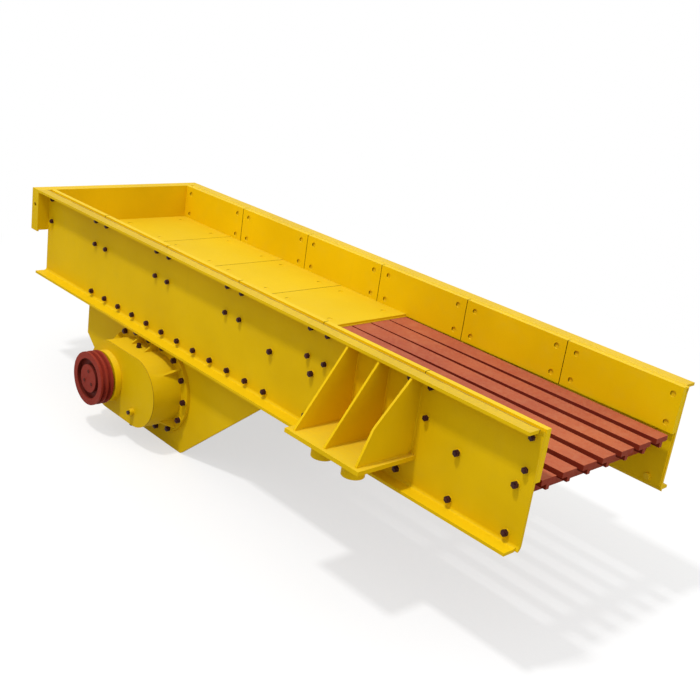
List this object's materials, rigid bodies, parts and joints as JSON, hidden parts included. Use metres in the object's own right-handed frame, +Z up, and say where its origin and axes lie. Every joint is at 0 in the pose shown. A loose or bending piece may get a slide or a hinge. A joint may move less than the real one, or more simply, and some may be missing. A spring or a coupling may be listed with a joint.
{
  "type": "vibratory feeder",
  "caption": "Vibrating trough feeder with a lined steel deck, tapered grizzly bars, spring brackets and a geared twin-shaft exciter with a belt pulley beneath.",
  "frame": {"origin": "middle of the overall length and width, at the level of the lowest point of the exciter plates", "axes": "+X the way the material travels, from the rear wall to the discharge end; +Z up; -Y the side of the belt pulley"},
  "size_m": [3.861, 1.706, 1.093],
  "materials": {
    "yellow_paint": "gloss enamel",
    "red_paint": "satin enamel",
    "red_pulley_paint": "satin enamel on cast iron",
    "dark_fasteners": "oiled black steel",
    "machined_steel": "machined, oiled",
    "bare_cast_iron": "as cast"
  },
  "bodies": {
    "trough": {"side_plate_right": "yellow_paint", "side_plate_left": "yellow_paint", "rear_beam": "yellow_paint", "pan_plate": "yellow_paint", "pan_ribs": "yellow_paint", "deck_liner_1": "yellow_paint", "deck_liner_2": "yellow_paint", "deck_liner_3": "yellow_paint", "deck_liner_4": "yellow_paint", "side_liner_right_1": "yellow_paint", "side_liner_right_2": "yellow_paint", "side_liner_right_3": "yellow_paint", "side_liner_right_4": "yellow_paint", "side_liner_right_5": "yellow_paint", "side_liner_right_6": "yellow_paint", "side_liner_left_1": "yellow_paint", "side_liner_left_2": "yellow_paint", "side_liner_left_3": "yellow_paint", "side_liner_left_4": "yellow_paint", "side_liner_left_5": "yellow_paint", "side_liner_left_6": "yellow_paint", "lower_liner_right": "yellow_paint", "lower_liner_left": "yellow_paint", "grizzly_bar_1": "red_paint", "grizzly_bar_2": "red_paint", "grizzly_bar_3": "red_paint", "grizzly_bar_4": "red_paint", "grizzly_bar_5": "red_paint", "grizzly_bar_6": "red_paint", "grizzly_bar_7": "red_paint", "bar_beam_front": "red_paint", "bar_beam_middle": "red_paint", "bar_beam_rear": "red_paint", "spring_bracket_right": "yellow_paint", "spring_bracket_left": "yellow_paint", "rear_feet": "yellow_paint", "exciter_plate_right": "yellow_paint", "exciter_plate_left": "yellow_paint", "exciter_housing": "yellow_paint", "gear_case": "yellow_paint", "input_cap": "yellow_paint", "end_cover": "yellow_paint", "bearings": "machined_steel", "breather": "dark_fasteners", "oil_plugs": "dark_fasteners", "liner_bolts_right": "dark_fasteners", "liner_bolts_left": "dark_fasteners", "deck_bolts": "dark_fasteners", "plate_bolts": "dark_fasteners", "frame_bolts": "dark_fasteners", "case_bolts": "dark_fasteners"},
    "drive_rotor": {"drive_shaft": "machined_steel", "drive_eccentrics": "bare_cast_iron", "drive_gear": "machined_steel", "pulley": "red_pulley_paint", "pulley_retainer": "red_pulley_paint", "pulley_screws": "dark_fasteners"},
    "driven_rotor": {"driven_shaft": "machined_steel", "driven_eccentrics": "bare_cast_iron", "driven_gear": "machined_steel"}
  },
  "joints": [
    {"name": "drive_shaft_turn", "type": "hinge", "parent": "trough", "child": "drive_rotor", "pos_m": [-0.7715, 0, 0.315], "axis": [0, 1, 0], "continuous": true},
    {"name": "driven_shaft_turn", "type": "hinge", "parent": "trough", "child": "driven_rotor", "pos_m": [-0.5115, 0, 0.315], "axis": [0, 1, 0], "continuous": true}
  ],
  "couplings": [
    {"joint": "driven_shaft_turn", "follows": "drive_shaft_turn", "ratio": -1}
  ]
}
